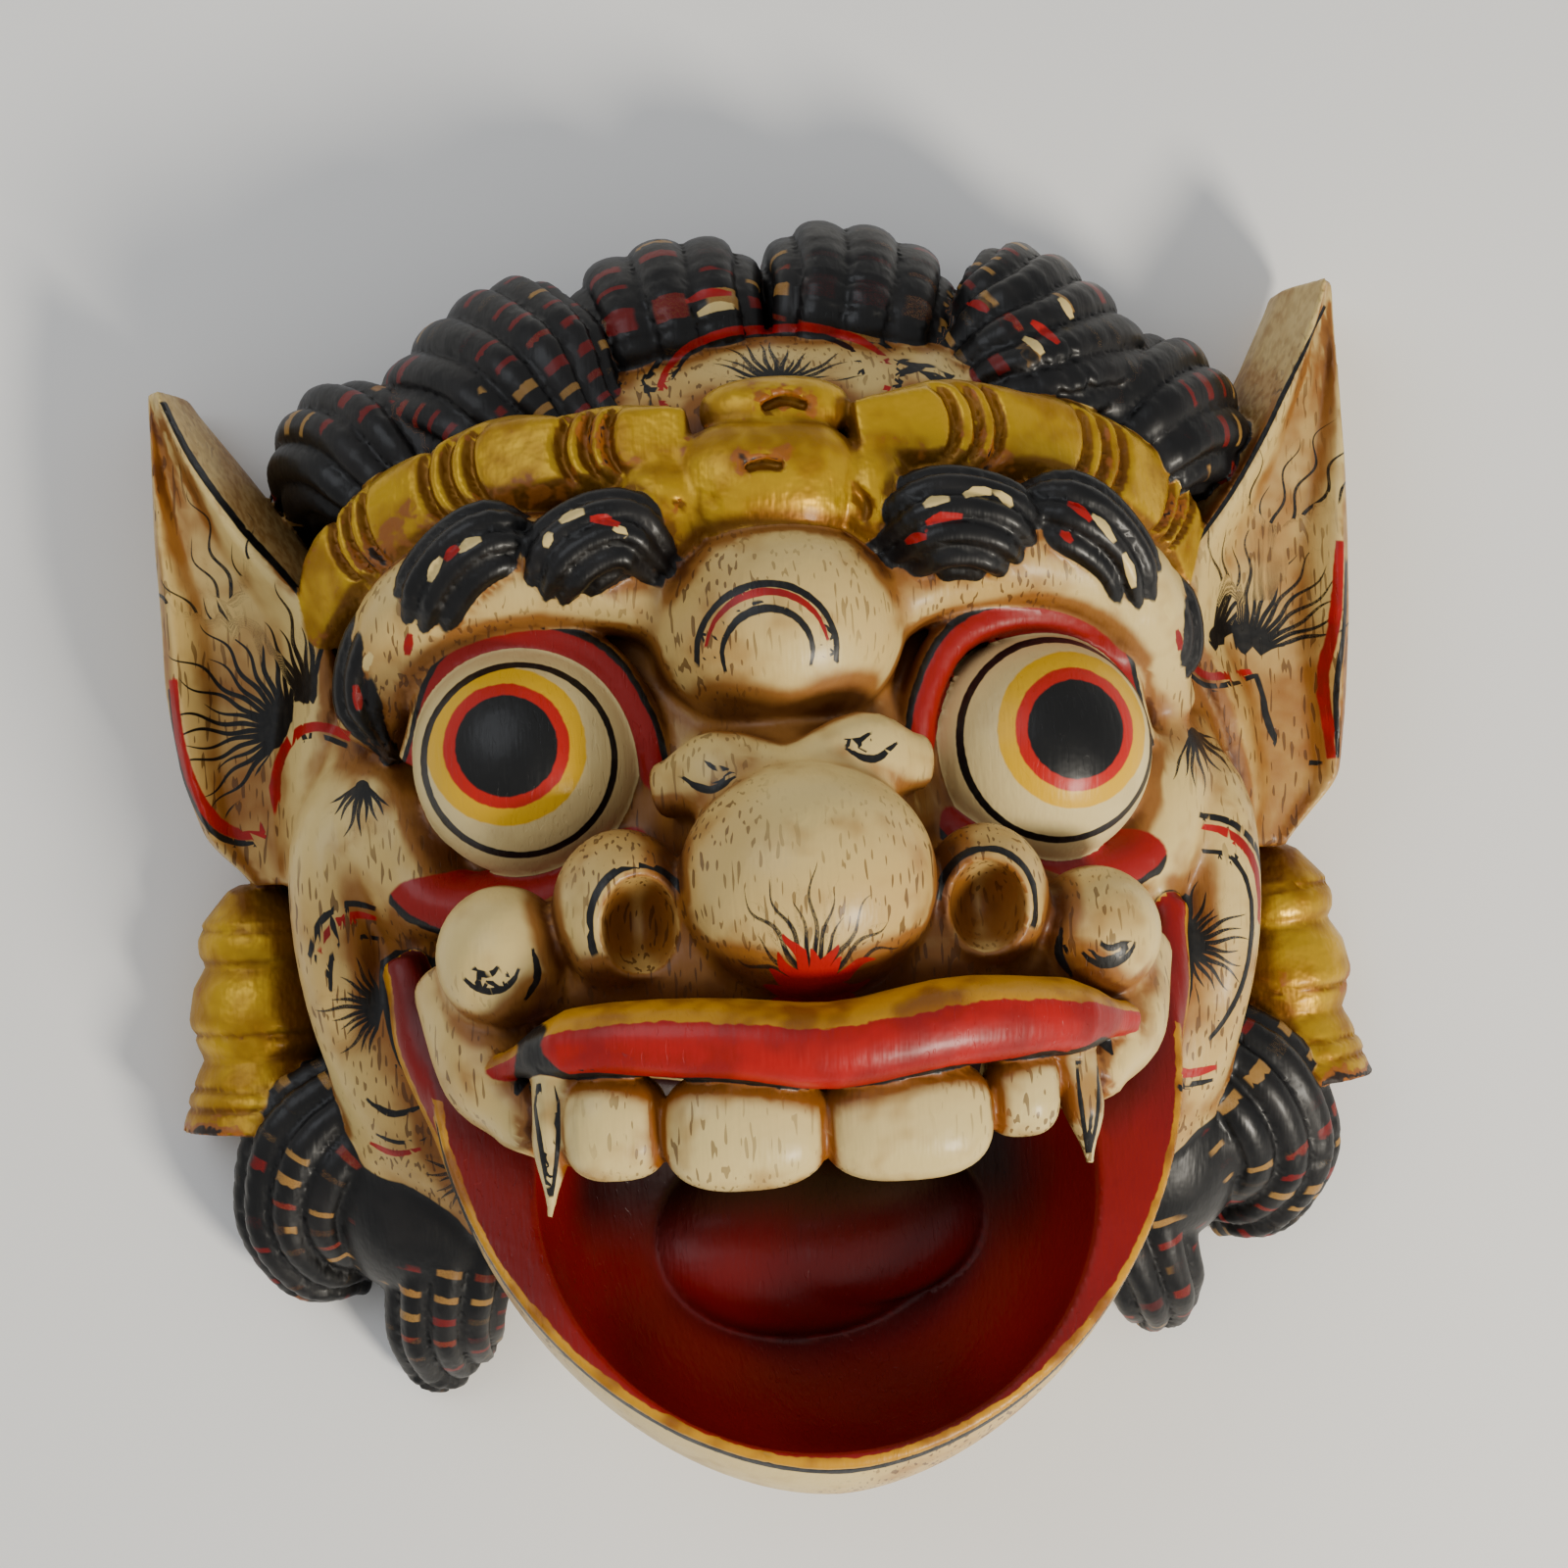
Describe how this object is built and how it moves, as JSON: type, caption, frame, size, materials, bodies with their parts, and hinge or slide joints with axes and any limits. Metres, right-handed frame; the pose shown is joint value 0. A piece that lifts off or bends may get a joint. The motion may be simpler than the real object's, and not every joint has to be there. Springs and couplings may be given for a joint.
{
  "type": "barong mask",
  "caption": "Carved and painted wooden guardian mask with bulging eyes, leaf-shaped ears, a gilded crown band, fangs and a wide open jaw, hollow at the back.",
  "frame": {"origin": "middle of the bounding box, on the plane of the back rim", "axes": "+Z out of the face, +Y up the face, +X to the right of someone looking at the face"},
  "size_m": [0.3758, 0.378, 0.1871],
  "materials": {
    "painted_wood": "carved wood, hand painted cream, black, red and gold under an uneven varnish"
  },
  "bodies": {
    "root": {"barong_mask": "painted_wood"}
  },
  "joints": []
}
